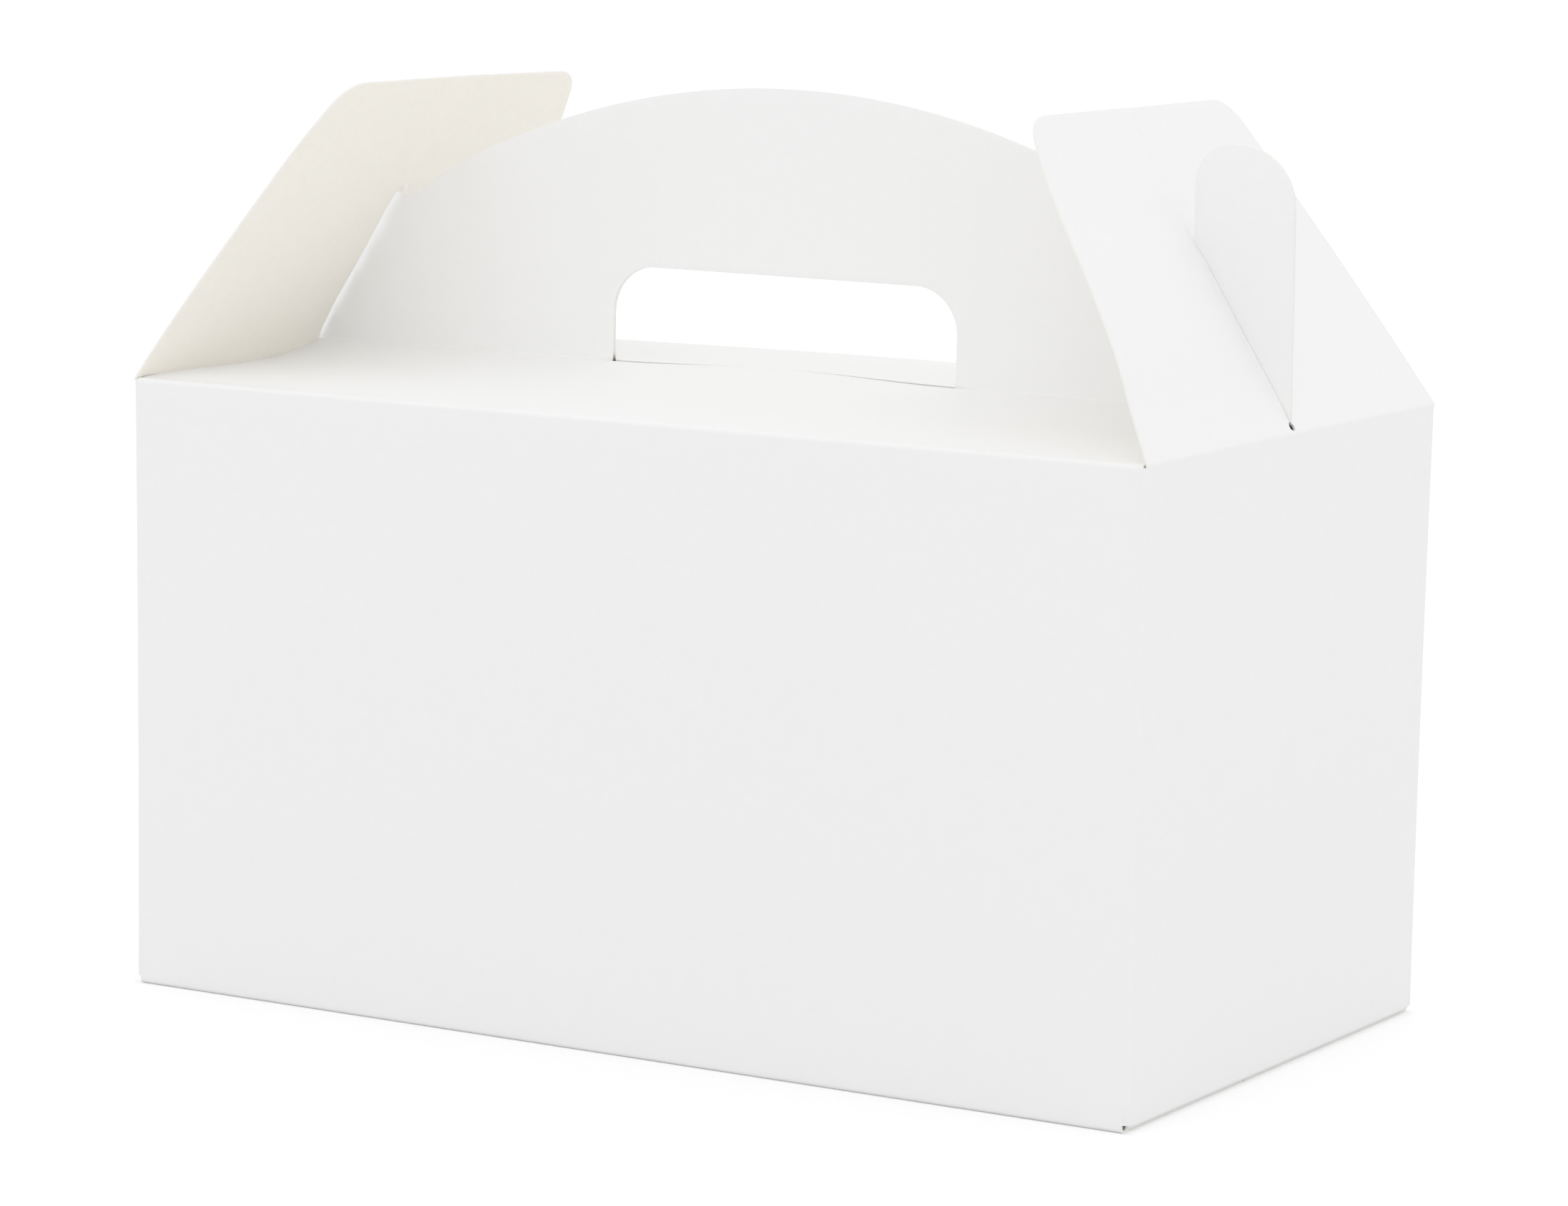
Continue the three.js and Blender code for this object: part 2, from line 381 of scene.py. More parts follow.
class Path:
    """A path in a plane, which a flat sheet is bent along. Its own points are the sheet's rows."""

    def __init__(self, points):
        self.points = np.array(points, float)
        steps = np.linalg.norm(np.diff(self.points, axis=0), axis=1)
        self.rows = np.concatenate([[0.0], np.cumsum(steps)])

    def at(self, length):
        """Place on the path at a length along it; past its ends it runs straight on."""
        place = np.stack([np.interp(length, self.rows, self.points[:, k]) for k in (0, 1)], axis=-1)
        over = np.maximum(length - self.rows[-1], 0)
        last = self.points[-1] - self.points[-2]
        last /= np.linalg.norm(last)
        return place + over[..., None] * last

    def row(self, point):
        """Length along the path of the row nearest to a point."""
        return self.rows[np.argmin(np.linalg.norm(self.points - np.array(point), axis=1))]


# Meshes

def add_surface(sheet, flat, triangles, place, flip=False):
    """Adds a flat triangle mesh to a bmesh, folded by place(x, length), which gives millimetres."""
    folded = flared(place(flat[:, 0], flat[:, 1])) * MM
    corners = [sheet.verts.new(p) for p in folded]
    for a, b, c in triangles:
        order = (a, c, b) if flip else (a, b, c)
        if signed_area(flat[a], flat[b], flat[c]) < 0:
            order = order[::-1]
        sheet.faces.new([corners[i] for i in order])


def at_seam(vert, reach):
    """Whether a point lies where a wing's piece meets its end wall's: there the board is whole."""
    at_height = abs(vert.co.z - END_WALL_TOP * MM) < reach * MM
    return at_height and abs(vert.co.y) < (HALF_WIDTH - CLEARANCE) * MM


def thick_piece(name, sheet, materials):
    """An object from a middle surface. Its outer face, inner face and cut edges have a material each."""
    bmesh.ops.remove_doubles(sheet, verts=sheet.verts, dist=WELD_REACH * MM)
    mesh = bpy.data.meshes.new(name)
    sheet.to_mesh(mesh)
    sheet.free()
    raw = bpy.data.objects.new(name, mesh)
    bpy.context.scene.collection.objects.link(raw)
    for material in materials:
        mesh.materials.append(material)
    shell = raw.modifiers.new("board", "SOLIDIFY")
    shell.thickness = BOARD * MM
    shell.offset = 0.0
    shell.use_even_offset = True
    shell.material_offset = 1
    shell.material_offset_rim = 2
    evaluated = raw.evaluated_get(bpy.context.evaluated_depsgraph_get())
    final = bpy.data.meshes.new_from_object(evaluated)
    final.name = name
    solid = bmesh.new()
    solid.from_mesh(final)
    for vert in solid.verts:
        if at_seam(vert, SEAM_REACH):
            vert.co.z = END_WALL_TOP * MM
    rounded = [
        e for e in solid.edges
        if e.calc_face_angle(0) > ROUNDED_ANGLE and not all(at_seam(v, FOLD_REACH) for v in e.verts)
    ]
    bmesh.ops.bevel(
        solid, geom=rounded, offset=EDGE_BEVEL * MM, segments=BEVEL_STEPS, profile=0.5, affect="EDGES",
    )
    solid.to_mesh(final)
    solid.free()
    raw.modifiers.clear()
    raw.data = final
    bpy.data.meshes.remove(mesh)
    final.shade_smooth()
    final.set_sharp_from_angle(angle=SHARP_ANGLE)
    return raw


def flared(points):
    """Points moved by the lean of the end walls' top corners, in millimetres."""
    moved = points.copy()
    height = np.clip(points[:, 2] / HINGE_Z, 0, 1)
    lean = END_FLARE * height**2 * (points[:, 1] / HALF_WIDTH) ** 2
    moved[:, 0] += lean * points[:, 0] / HALF_LENGTH
    return moved


# The two long sides: bottom flap, wall, roof panel and handle layer in one strip

FLAP_START = -HOOK_DEPTH - FLAP_OVERRUN
WALL_ROWS = [
    z for _, z in line((0, FOLD_RADIUS + WALL_FIRST_ROW), (0, HINGE_Z - FOLD_RADIUS), WALL_STEP)
]


def roof_height(share):
    """Rise of a roof panel from the wall, at 0, to the handle, at 1: it springs up at both folds."""
    return ROOF_RISE * (3 * share - 6 * share**2 + 4 * share**3)


def roof_sag(share, from_end, end):
    """How far the front roof panel dips beside a wing, from the wall, at 0, to the handle, at 1."""
    share = np.clip(share, 0, 1)
    fade = np.exp(-np.clip(from_end, 0, None) / ROOF_SAG_REACH)
    return ROOF_SAG[end] * 4 * share * (1 - share) * fade


def side_path():
    """Half of the box in cross-section: from past the bottom's middle, up and over to the handle."""
    bend = FOLD_RADIUS - BOARD / 2
    outer = HALF_WIDTH - FOLD_RADIUS
    inner = LAYER_Y + HANDLE_BEND
    shares = np.linspace(0, 1, ROOF_STEPS + 1)[1:-1]
    roof = [(outer + (inner - outer) * s, HINGE_Z - BOARD / 2 + roof_height(s)) for s in shares]
    return Path([
        *line((FLAP_START, BOARD / 2), (outer, BOARD / 2), ROW_STEP)[:-1],
        *arc(outer, FOLD_RADIUS, bend, -90, 0, FOLD_STEPS),
        *[(HALF_WIDTH - BOARD / 2, z) for z in WALL_ROWS[:-1]],
        *arc(outer, HINGE_Z - FOLD_RADIUS, bend, 0, 90, ROOF_FOLD_STEPS),
        *roof,
        *arc(inner, FOLD_Z - BOARD / 2 + HANDLE_BEND, HANDLE_BEND, -90, -180, FOLD_STEPS),
        (LAYER_Y, FOLD_Z + LAYER_FIRST_ROW),
    ])


def roof_end_x(away, z, end):
    """How far out the roof reaches, away from the middle and at a height, clear of the wing's face."""
    reach = (BOARD / 2 + CLEARANCE) / math.cos(WING_LEAN)
    plain = HINGE_X - (z - HINGE_Z) * math.tan(WING_LEAN) - reach
    return min(ROOF_MOST_X[end], plain + ROOF_REACH[end] * (1 - away / HALF_WIDTH))


def seam(x):
    """Where the bottom's seam runs: it swaps sides in the middle."""
    share = np.clip(x / HOOK_RUN + 0.5, 0, 1)
    return HOOK_DEPTH * math.cos(math.pi * share)


def handle_outline(end, fold_top):
    """Half of the handle, from the roof's end outwards and up over the ear to the top of the arch."""
    roof_end = roof_end_x(0, FOLD_Z, end)
    outer_x = EAR_OUTER_X[end]
    slit_length = SLIT_LENGTH[WINGS[end]]
    slit_x = HINGE_X - slit_length * math.sin(WING_LEAN)
    slit_z = HINGE_Z + slit_length * math.cos(WING_LEAN)
    ear_x = slit_x + BOARD / 2 * math.cos(WING_LEAN) + CLEARANCE
    notch_z = slit_z - BOARD / 2 * math.sin(WING_LEAN) - CLEARANCE
    centre_z = ARCH_TOP - ARCH_RADIUS
    notch_angle = math.degrees(math.asin((notch_z - centre_z) / ARCH_RADIUS))
    arch = arc(0, centre_z, ARCH_RADIUS, notch_angle, 90, ARCH_STEPS)
    ear_bottom = fold_top - EAR_DROP
    root_x = roof_end + EAR_ROOT_GAP
    corners = [(root_x, fold_top), (root_x, ear_bottom), (outer_x, ear_bottom)]
    outer_arc = arc(
        outer_x - EAR_OUTER_RADIUS, EAR_TOP - EAR_OUTER_RADIUS, EAR_OUTER_RADIUS, 0, 90, EAR_OUTER_STEPS,
    )
    inner_arc = arc(
        ear_x + EAR_INNER_RADIUS, EAR_TOP - EAR_INNER_RADIUS, EAR_INNER_RADIUS, 90, 180, EAR_INNER_STEPS,
    )
    return [
        *corners,
        *line(corners[-1], outer_arc[0], FINE_STEP)[1:-1],
        *outer_arc,
        *inner_arc,
        *line(inner_arc[-1], (ear_x, notch_z), FINE_STEP)[1:],
        *arch,
    ]


def by_end(values, x):
    """For each point, the value of the end that it is nearer to."""
    return np.where(x < 0, values[LEFT], values[RIGHT])


def side_strip(sheet, side):
    """A long side of the box: half the bottom, the wall, its roof panel and its layer of the handle."""
    path = side_path()
    fold_top = FOLD_Z - BOARD / 2 + HANDLE_BEND
    fold_row = path.row((LAYER_Y, fold_top))
    hole_row = path.row((LAYER_Y + HANDLE_BEND, FOLD_Z - BOARD / 2))
    roof_start = path.row((HALF_WIDTH - FOLD_RADIUS, HINGE_Z - BOARD / 2))
    wall_x = HALF_LENGTH - FOLD_RADIUS

    def to_length(z):
        return z - fold_top + fold_row

    flap_edge = [
        (x, seam(x) * side + SEAM_GAP / 2 - FLAP_START)
        for x in np.linspace(-wall_x, wall_x, SEAM_STEPS + 1)
    ]
    flap_fold = path.row((HALF_WIDTH - FOLD_RADIUS, BOARD / 2))

    def end_edge(end):
        """The strip's edge at one end, from the bottom flap's corner to the handle's fold."""
        flap_corner = flap_edge[0 if end == LEFT else -1][1] + FLAP_CORNER_REACH
        edge = []
        for (away, z), length in zip(path.points, path.rows):
            before_corner = length < flap_fold and length <= flap_corner
            if before_corner or length > fold_row + TOUCH:
                continue
            dip = roof_sag(1 - away / HALF_WIDTH, 0, end) if side == FRONT else 0
            limit = wall_x if z < HINGE_Z - FOLD_RADIUS else roof_end_x(away, z + BOARD / 2 - dip, end)
            edge.append((end * limit, length))
        return edge

    right_half = [(x, to_length(z)) for x, z in handle_outline(RIGHT, fold_top)]
    left_half = [(x, to_length(z)) for x, z in mirrored(handle_outline(LEFT, fold_top))[1:]]
    outline = [*flap_edge, *end_edge(RIGHT), *right_half, *left_half, *reversed(end_edge(LEFT))]

    hole_top = to_length(FOLD_Z + HOLE_HEIGHT)
    hole_foot = (HOLE_HALF_LENGTH, hole_row)
    corner_z = hole_top - HOLE_CORNER
    half_hole = [
        *line((0, hole_row), hole_foot, FINE_STEP)[1:],
        *line(hole_foot, (HOLE_HALF_LENGTH, corner_z), FINE_STEP)[1:-1],
        *arc(HOLE_HALF_LENGTH - HOLE_CORNER, corner_z, HOLE_CORNER, 0, 90, HOLE_CORNER_STEPS),
    ]
    hole = [*half_hole, *mirrored(half_hole), (0, hole_row)]

    columns = np.arange(-SIDE_COLUMNS, SIDE_COLUMNS + 1) * COLUMN_STEP
    handle_rows = np.arange(path.rows[-1] + FINE_STEP, to_length(ARCH_TOP), FINE_STEP)
    rows = [*path.rows[1:-1], *handle_rows]
    grid = [(x, length) for length in rows for x in columns]

    def place(x, length):
        flat_place = path.at(length)
        away, height = flat_place[:, 0].copy(), flat_place[:, 1].copy()

        # The ear's foot hangs straight down past the roof's end
        right_end = roof_end_x(0, FOLD_Z, RIGHT) + EAR_ROOT_GAP / 2
        left_end = -roof_end_x(0, FOLD_Z, LEFT) - EAR_ROOT_GAP / 2
        past_roof = (x > right_end) | (x < left_end)
        at_foot = (length < fold_row + TOUCH) & (length > fold_row - EAR_DROP - EDGE_SLACK)
        ear = past_roof & at_foot
        away[ear] = LAYER_Y
        height[ear] = fold_top + length[ear] - fold_row

        # The roof stands up at the hand hole, bows up at the back and dips beside a wing at the front
        window = np.cos(np.clip(x / HOLE_HALF_LENGTH, -1, 1) * math.pi / 2) ** 2
        back = np.clip((hole_row - length) / HOLE_EDGE_REACH, 0, 1)
        pop = HOLE_EDGE_POP[side] * window * (1 - back) ** 2
        height += np.where(length <= hole_row + TOUCH, pop, 0)
        on_roof = (length > roof_start) & (length < fold_row)
        if side == BACK:
            share = np.clip(1 - away / HALF_WIDTH, 0, 1)
            middle = np.cos(x / HALF_LENGTH * math.pi / 2) ** 2
            height += on_roof * BACK_ROOF_BOW * 4 * share * (1 - share) * middle
        else:
            for end in (LEFT, RIGHT):
                height -= on_roof * roof_sag(1 - away / HALF_WIDTH, HALF_LENGTH - end * x, end)

        # The ears turn outside the wings
        start = by_end(EAR_TURN_START, x) * (EAR_TOP - height) / (EAR_TOP - FOLD_Z)
        past_wing = np.abs(x) - HINGE_X + (height - HINGE_Z) * math.tan(WING_LEAN) - start
        turn = by_end(EAR_TURN, x) * np.clip(past_wing, 0, None) * (length > fold_row)
        return np.stack([x, side * away + turn, height], axis=-1)

    all_rows = [*path.rows, to_length(ARCH_TOP)]
    flat, triangles = fill(outline, [hole], grid, margin=SIDE_MARGIN, rows=all_rows)
    add_surface(sheet, flat, triangles, place, flip=side == BACK)


def end_strip(sheet, end):
    """An end wall with its bottom flap."""
    bend = FOLD_RADIUS - BOARD / 2
    outer = HALF_LENGTH - FOLD_RADIUS
    flap_z = BOARD * 1.5 + FLAP_REST
    start = HALF_LENGTH - END_FLAP_DEPTH
    path = Path([
        *line((start, flap_z), (outer, flap_z), ROW_STEP)[:-1],
        *arc(outer, flap_z + bend, bend, -90, 0, FOLD_STEPS),
        *[(HINGE_X, z) for z in WALL_ROWS],
        (HINGE_X, END_WALL_TOP),
    ])
    half = HALF_WIDTH - FOLD_RADIUS
    fold = path.row((outer, flap_z))
    flap_half = half - BOARD
    right = [(flap_half - END_FLAP_TAPER, 0.0), (flap_half, fold)]
    wall_start = path.row((HINGE_X, flap_z + bend)) - TOUCH
    right += [(half, length) for length in path.rows if length >= wall_start]
    top = path.rows[-1]
    outline = [*right, *line(right[-1], (-half, top), COLUMN_STEP)[1:-1], *mirrored(right)]
    columns = np.arange(-END_COLUMNS, END_COLUMNS + 1) * COLUMN_STEP
    grid = [(x, length) for length in path.rows[1:-1] for x in columns]

    def place(x, length):
        flat_place = path.at(length)
        return np.stack([end * flat_place[:, 0], x, flat_place[:, 1]], axis=-1)

    flat, triangles = fill(outline, [], grid, margin=END_MARGIN, rows=path.rows)
    add_surface(sheet, flat, triangles, place, flip=end == LEFT)


def upright_fold(sheet, end, side):
    """The rounded upright fold between an end wall and a long wall."""
    bend = FOLD_RADIUS - BOARD / 2
    path = Path(arc(HALF_LENGTH - FOLD_RADIUS, HALF_WIDTH - FOLD_RADIUS, bend, 0, 90, FOLD_STEPS))
    rows = [*WALL_ROWS, END_WALL_TOP]
    outline = [
        *[(length, rows[0]) for length in path.rows],
        *[(path.rows[-1], z) for z in rows[1:-1]],
        *[(length, rows[-1]) for length in path.rows[::-1]],
        *[(path.rows[0], z) for z in rows[-2:0:-1]],
    ]
    grid = [(length, z) for z in rows[1:-1] for length in path.rows[1:-1]]
    flat, triangles = fill(outline, [], grid, margin=FOLD_MARGIN)

    def place(x, z):
        around = path.at(x)
        return np.stack([end * around[:, 0], side * around[:, 1], z], axis=-1)

    add_surface(sheet, flat, triangles, place, flip=end * side < 0)


def carton(materials):
    """The whole sheet but for its glue flap and the wings."""
    sheet = bmesh.new()
    for side, end in ((FRONT, LEFT), (BACK, RIGHT)):
        side_strip(sheet, side)
        end_strip(sheet, end)
        for corner_side in (FRONT, BACK):
            upright_fold(sheet, end, corner_side)
    return thick_piece("carton", sheet, materials)


def glue_flap(materials):
    """The flap inside the back wall, where the sheet's two ends are glued together."""
    sheet = bmesh.new()
    outer = HALF_LENGTH - FOLD_RADIUS
    inner = outer - GLUE_FLAP_WIDTH
    low, high = GLUE_FLAP_INSET, HINGE_Z - GLUE_FLAP_INSET
    first = (inner, low + GLUE_FLAP_TAPER)
    corners = [first, (outer, low), (outer, high), (inner, high - GLUE_FLAP_TAPER), first]
    outline = polyline(corners, GLUE_FLAP_STEP)[:-1]
    flat, triangles = fill(outline)
    y = HALF_WIDTH - 1.5 * BOARD - FLAP_REST

    def place(x, z):
        return np.stack([x, np.full_like(x, y), z], axis=-1)

    add_surface(sheet, flat, triangles, place)
    return thick_piece("glue_flap", sheet, materials)


def smooth_profile(pairs, at):
    """Smooth curve through pairs of place and value."""
    places, values = np.array(pairs, float).T
    slopes = np.gradient(values, places)
    at = np.clip(at, places[0], places[-1])
    piece = np.clip(np.searchsorted(places, at, side="right") - 1, 0, len(places) - 2)
    step = places[piece + 1] - places[piece]
    share = (at - places[piece]) / step
    rise = share * share * (3 - 2 * share)
    start_pull = share * (1 - share) ** 2 * step * slopes[piece]
    end_pull = share**2 * (share - 1) * step * slopes[piece + 1]
    return values[piece] + (values[piece + 1] - values[piece]) * rise + start_pull + end_pull


def wing_bow(name, y, height):
    """How far a wing stands out from its plane, at a place across it and a height above its fold."""
    bows = WING_BOWS[name]
    half = np.interp(height, [0, WING_HEIGHT], [HALF_WIDTH - CLEARANCE, WING_HALF_TOP])
    front = y < 0
    profiles = {place: smooth_profile(pairs, height) for place, pairs in bows.items()}
    at_slit = np.where(front, profiles["slit_front"], profiles["slit_back"])
    at_edge = np.where(front, profiles["front"], profiles["back"])
    from_slit = np.abs(y) - np.where(front, slit_edge(name, height), SLIT_HALF_WIDTH)
    share = np.clip(from_slit / (half - SLIT_HALF_WIDTH), 0, 1)
    along = np.clip(from_slit / BOW_REACH[name], 0, None)
    near_slit = np.clip((SLIT_LENGTH[name] + SLIT_END_REACH - height) / SLIT_END_REACH, 0, 1)
    quick = 1 - np.exp(-along)
    share = share * (1 - near_slit) + np.clip(quick + share * np.exp(-along), 0, 1) * near_slit
    lip = LIP_HEIGHT[name] * np.exp(-np.clip(from_slit, 0, None) / LIP_REACH[name])
    lip *= front & (height < SLIT_LENGTH[name]) & (from_slit > -EDGE_SLACK)
    lip *= np.clip(height / LIP_FADE, 0, 1) * np.clip((SLIT_LENGTH[name] - height) / LIP_FADE, 0, 1)
    return at_slit + (at_edge - at_slit) * share + lip


def wing_path():
    """From the top of the end wall round the crease and up the wing."""
    centre_z = HINGE_Z - WING_CREASE * math.sin(WING_LEAN) / 2
    bend = arc(
        HINGE_X - WING_CREASE, centre_z, WING_CREASE, 0, math.degrees(WING_LEAN), CREASE_STEPS,
    )
    end_x, end_z = bend[-1]
    rest = WING_HEIGHT - math.hypot(end_x - HINGE_X, end_z - HINGE_Z)
    tip = (end_x - math.sin(WING_LEAN) * rest, end_z + math.cos(WING_LEAN) * rest)
    return Path([(HINGE_X, END_WALL_TOP), *bend, *line((end_x, end_z), tip, WING_ROW_STEP)[1:]])


def slit_edge(name, height):
    """How far the slit's front edge lies from the middle at a height."""
    return np.interp(height, [0, SLIT_LENGTH[name]], SLIT_FRONT[name])


def wing_outline(name, base):
    """A wing laid flat, from its lower edge at -base, with its fold at 0."""
    foot = (HALF_WIDTH - CLEARANCE, 0.0)
    wing_top = WING_HEIGHT - WING_SHORTFALL[name]
    side_angle = math.atan2(wing_top, WING_HALF_TOP - foot[0])
    turn = math.pi - side_angle
    corner = arc(
        WING_HALF_TOP - WING_CORNER * math.tan(turn / 2), wing_top - WING_CORNER, WING_CORNER,
        math.degrees(side_angle) - 90, 90, WING_CORNER_STEPS,
    )
    start, end = np.array(foot), np.array(corner[0])
    outward = np.array([math.sin(side_angle), -math.cos(side_angle)])
    side_edge = [
        tuple(start + (end - start) * share + outward * WING_SIDE_BOW * 4 * share * (1 - share))
        for share in np.linspace(0, 1, WING_SIDE_STEPS + 1)
    ]
    slit_top = SLIT_LENGTH[name]
    heights = np.linspace(RELIEF_HEIGHT + SLIT_FOOT, slit_top - SLIT_ROUND, SLIT_STEPS + 1)
    slit = [
        (0.0, slit_top),
        (SLIT_HALF_WIDTH * SLIT_SHOULDER_SHARE, slit_top - SLIT_SHOULDER),
        *[(SLIT_HALF_WIDTH, height) for height in heights[::-1]],
        *arc(0, RELIEF_HEIGHT, RELIEF_RADIUS, *RELIEF_ARC, RELIEF_STEPS),
        *[(-slit_edge(name, height), height) for height in heights],
        (-slit_edge(name, slit_top) * SLIT_SHOULDER_SHARE, slit_top - SLIT_SHOULDER),
    ]
    half = [
        *line((0, -base), (foot[0], -base), FINE_STEP),
        *side_edge,
        *corner[1:],
        *line(corner[-1], (0, corner[-1][1]), FINE_STEP)[1:],
    ]
    outline = [*half, *mirrored(half)[1:-1]]
    return outline, slit


def wing(end, materials):
    """A wing with the crease that joins it to its end wall."""
    name = WINGS[end]
    path = wing_path()
    base = path.rows[-1] - WING_HEIGHT
    outline, slit = wing_outline(name, base)
    far = np.arange(WING_COLUMN_START, HALF_WIDTH, WING_COLUMN_STEP)
    grid = []
    for height in path.rows[1:-1] - base:
        by_front = -slit_edge(name, height) - COLUMNS_BY_SLIT
        by_back = SLIT_HALF_WIDTH + COLUMNS_BY_SLIT
        grid += [(y, height) for y in (*by_front, *by_back, *far, *-far, 0)]
    outward = np.array([end * math.cos(WING_LEAN), 0, math.sin(WING_LEAN)])

    def place(y, height):
        on_path = path.at(height + base)
        plain = np.stack([end * on_path[:, 0], y, on_path[:, 1]], axis=-1)
        rise = np.clip(height / WING_BOW_START, 0, 1)
        bow = wing_bow(name, y, height) * rise * rise * (3 - 2 * rise)
        return plain + bow[:, None] * outward

    flat, triangles = fill(outline, [slit], grid, margin=WING_MARGIN, rows=path.rows - base)
    sheet = bmesh.new()
    add_surface(sheet, flat, triangles, place, flip=end == LEFT)
    piece = thick_piece(f"{name}_board", sheet, materials)
    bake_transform(piece)
    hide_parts(name)


# Materials

def node(tree, kind, **inputs):
    """A new node, with values set on its sockets: an underscore stands for a space in a socket's name."""
    new = tree.nodes.new(kind)
    for name, value in inputs.items():
        new.inputs[name.replace("_", " ")].default_value = value
    return new


def board_material(name, colour, mottle, roughness, specular, grain):
    """Matt paperboard: a faint cloudy mottle in the colour and a fine fibre grain in the surface."""
    material = bpy.data.materials.new(name)
    material.use_nodes = True
    tree = material.node_tree
    shader = tree.nodes["Principled BSDF"]
    shader.inputs["Roughness"].default_value = roughness
    shader.inputs["Specular IOR Level"].default_value = specular
    place = tree.nodes.new("ShaderNodeTexCoord")
    clouds = node(tree, "ShaderNodeTexNoise", Scale=CLOUD_SCALE, Detail=4.0, Roughness=0.6)
    fibres = node(tree, "ShaderNodeTexNoise", Scale=FIBRE_SCALE, Detail=3.0, Roughness=0.7)
    tree.links.new(place.outputs["Object"], clouds.inputs["Vector"])
    tree.links.new(place.outputs["Object"], fibres.inputs["Vector"])
    ramp = tree.nodes.new("ShaderNodeValToRGB")
    shades = (1 - mottle, 1 + mottle)
    for stop, position, shade in zip(ramp.color_ramp.elements, CLOUD_RANGE, shades):
        stop.position = position
        stop.color = [min(1, c * shade) for c in colour] + [1]
    tree.links.new(clouds.outputs["Fac"], ramp.inputs["Fac"])
    tree.links.new(ramp.outputs["Color"], shader.inputs["Base Color"])
    bump = node(tree, "ShaderNodeBump", Strength=grain, Distance=FIBRE_DEPTH * MM)
    tree.links.new(fibres.outputs["Fac"], bump.inputs["Height"])
    tree.links.new(bump.outputs["Normal"], shader.inputs["Normal"])
    return material


def floor_material(name):
    """White paper that glows a little to the camera: it shows white but for the object's shadow."""
    material = bpy.data.materials.new(name)
    material.use_nodes = True
    tree = material.node_tree
    tree.nodes.clear()
    output = tree.nodes.new("ShaderNodeOutputMaterial")
    paper = node(tree, "ShaderNodeBsdfDiffuse", Color=(FLOOR_WHITE, FLOOR_WHITE, FLOOR_WHITE, 1))
    glow = node(tree, "ShaderNodeEmission", Color=(1, 1, 1, 1), Strength=FLOOR_GLOW)
    both = tree.nodes.new("ShaderNodeAddShader")
    choose = tree.nodes.new("ShaderNodeMixShader")
    rays = tree.nodes.new("ShaderNodeLightPath")
    tree.links.new(paper.outputs[0], both.inputs[0])
    tree.links.new(glow.outputs[0], both.inputs[1])
    tree.links.new(rays.outputs["Is Camera Ray"], choose.inputs[0])
    tree.links.new(paper.outputs[0], choose.inputs[1])
    tree.links.new(both.outputs[0], choose.inputs[2])
    tree.links.new(choose.outputs[0], output.inputs["Surface"])
    return material


# Stage

def floor():
    mesh = bpy.data.meshes.new("floor")
    turns = ((-1, -1), (1, -1), (1, 1), (-1, 1))
    corners = [(x * FLOOR_REACH, y * FLOOR_REACH, 0) for x, y in turns]
    mesh.from_pydata(corners, [], [(0, 1, 2, 3)])
    mesh.materials.append(floor_material("white_floor"))
    piece = bpy.data.objects.new("floor", mesh)
    bpy.context.scene.collection.objects.link(piece)


def world(lighting):
    """Even white surroundings: the background is white, and the object's light has its own strength."""
    new = bpy.data.worlds.new("studio")
    bpy.context.scene.world = new
    new.use_nodes = True
    tree = new.node_tree
    tree.nodes.clear()
    output = tree.nodes.new("ShaderNodeOutputWorld")
    shown = node(tree, "ShaderNodeBackground", Color=(1, 1, 1, 1), Strength=1.0)
    light = node(tree, "ShaderNodeBackground", Color=(1, 1, 1, 1), Strength=lighting)
    rays = tree.nodes.new("ShaderNodeLightPath")
    choose = tree.nodes.new("ShaderNodeMixShader")
    tree.links.new(rays.outputs["Is Camera Ray"], choose.inputs[0])
    tree.links.new(light.outputs[0], choose.inputs[1])
    tree.links.new(shown.outputs[0], choose.inputs[2])
    tree.links.new(choose.outputs[0], output.inputs["Surface"])


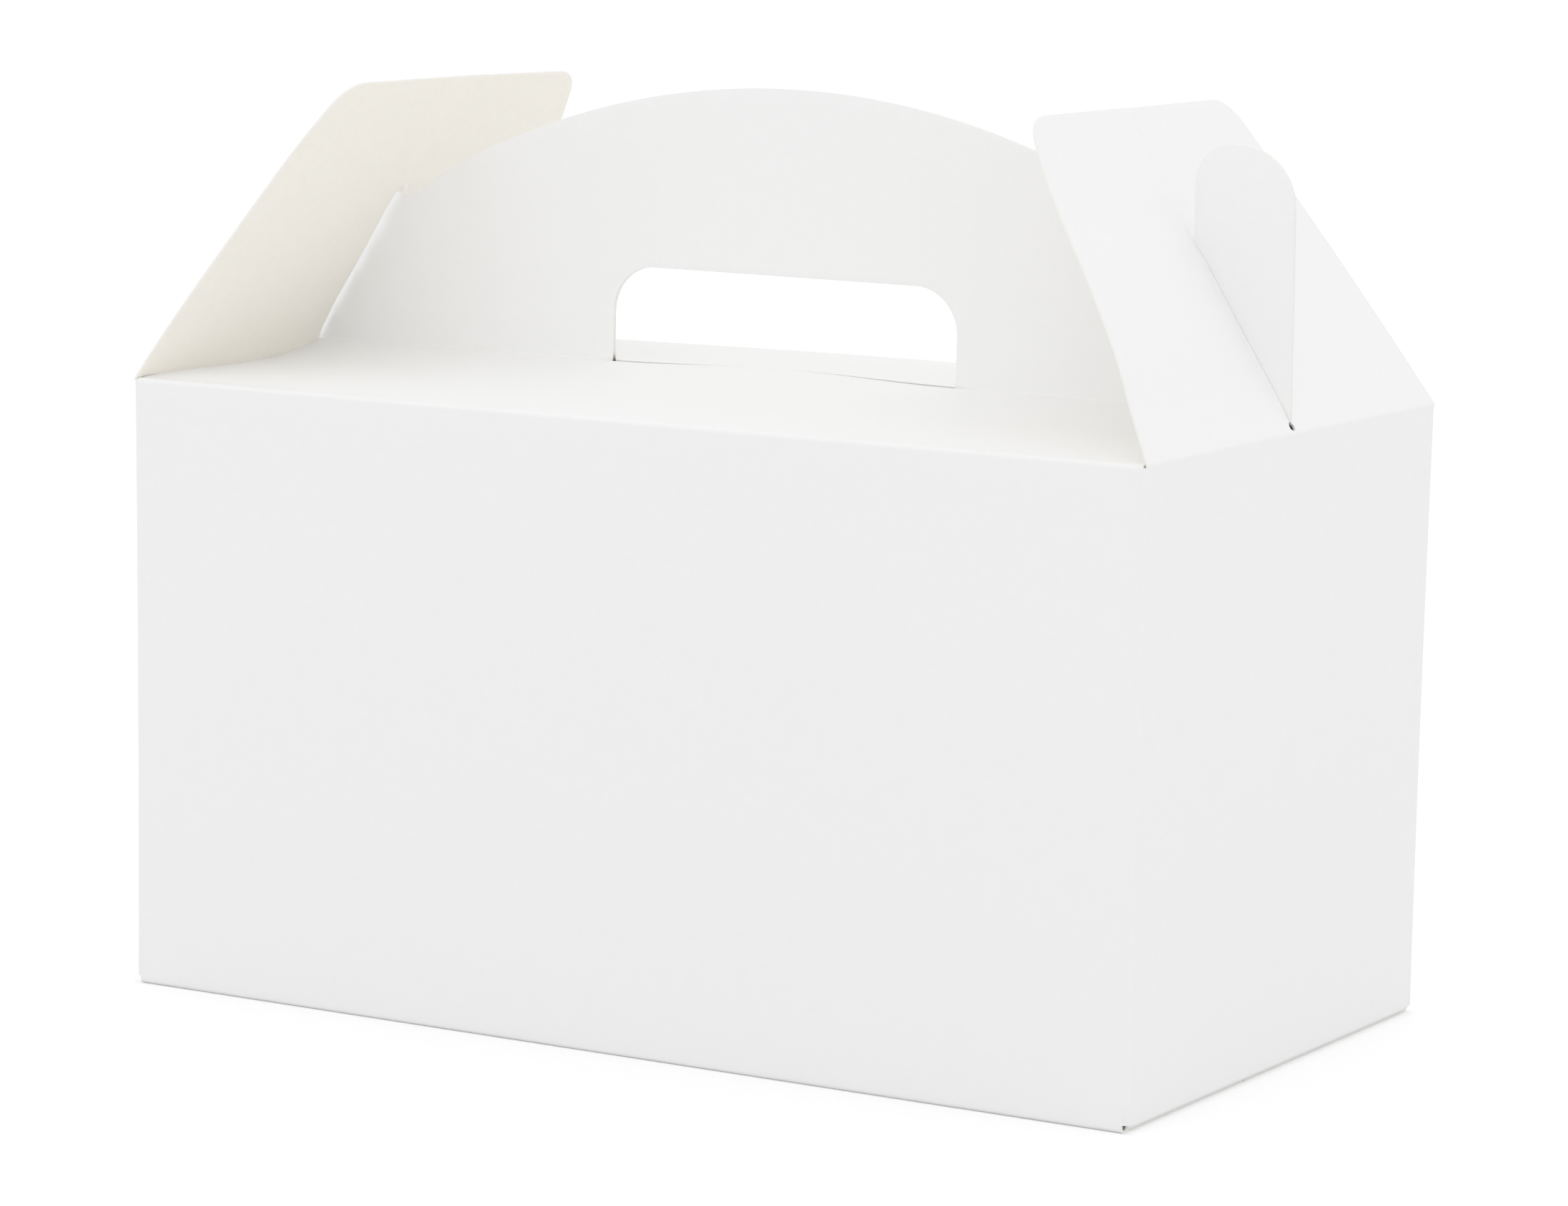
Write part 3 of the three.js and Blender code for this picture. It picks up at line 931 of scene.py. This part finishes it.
def lamp(name, place, target, size, power):
    """A round lamp, in metres and watts, that points at a target."""
    data = bpy.data.lights.new(name, "AREA")
    data.shape = "DISK"
    data.size = size
    data.energy = power
    piece = bpy.data.objects.new(name, data)
    piece.location = place
    piece.rotation_mode = "QUATERNION"
    piece.rotation_quaternion = (Vector(target) - Vector(place)).to_track_quat("-Z", "Y")
    bpy.context.scene.collection.objects.link(piece)


def camera():
    """The photo's camera, with its position, direction, roll and lens."""
    data = bpy.data.cameras.new("camera")
    data.lens = CAMERA_LENS
    data.sensor_width = CAMERA_SENSOR
    piece = bpy.data.objects.new("camera", data)
    away = Vector((
        math.sin(CAMERA_AZIMUTH) * math.cos(CAMERA_ELEVATION),
        -math.cos(CAMERA_AZIMUTH) * math.cos(CAMERA_ELEVATION),
        math.sin(CAMERA_ELEVATION),
    ))
    flat_right = Vector((0, 0, 1)).cross(away).normalized()
    flat_up = away.cross(flat_right)
    right = flat_right * math.cos(CAMERA_ROLL) + flat_up * math.sin(CAMERA_ROLL)
    up = away.cross(right)
    turned = Matrix((right, up, away)).transposed().to_4x4()
    piece.matrix_world = Matrix.Translation(CAMERA_PLACE) @ turned
    bpy.context.scene.collection.objects.link(piece)
    bpy.context.scene.camera = piece


board_materials = [
    board_material(
        "white_board_outside",
        colour=(0.95, 0.95, 0.95), mottle=0.006, roughness=0.6, specular=0.3, grain=0.15,
    ),
    board_material(
        "cream_board_inside",
        colour=(1.0, 0.965, 0.895), mottle=0.012, roughness=0.85, specular=0.2, grain=0.3,
    ),
    board_material(
        "board_cut_edge",
        colour=(0.95, 0.94, 0.9), mottle=0.02, roughness=0.9, specular=0.1, grain=0.3,
    ),
]

shell = carton(board_materials)
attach(shell, "box")
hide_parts("box_body")
flap = glue_flap(board_materials)
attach(flap, "box")
for box_end in (LEFT, RIGHT):
    wing(box_end, board_materials)

floor()
world(WORLD_LIGHT)
lamp("overhead", place=(0, 0, 1.5), target=(0, 0, 0.13), size=1.4, power=0.35)
camera()

bpy.context.scene.view_settings.view_transform = "Standard"
bpy.context.view_layer.update()
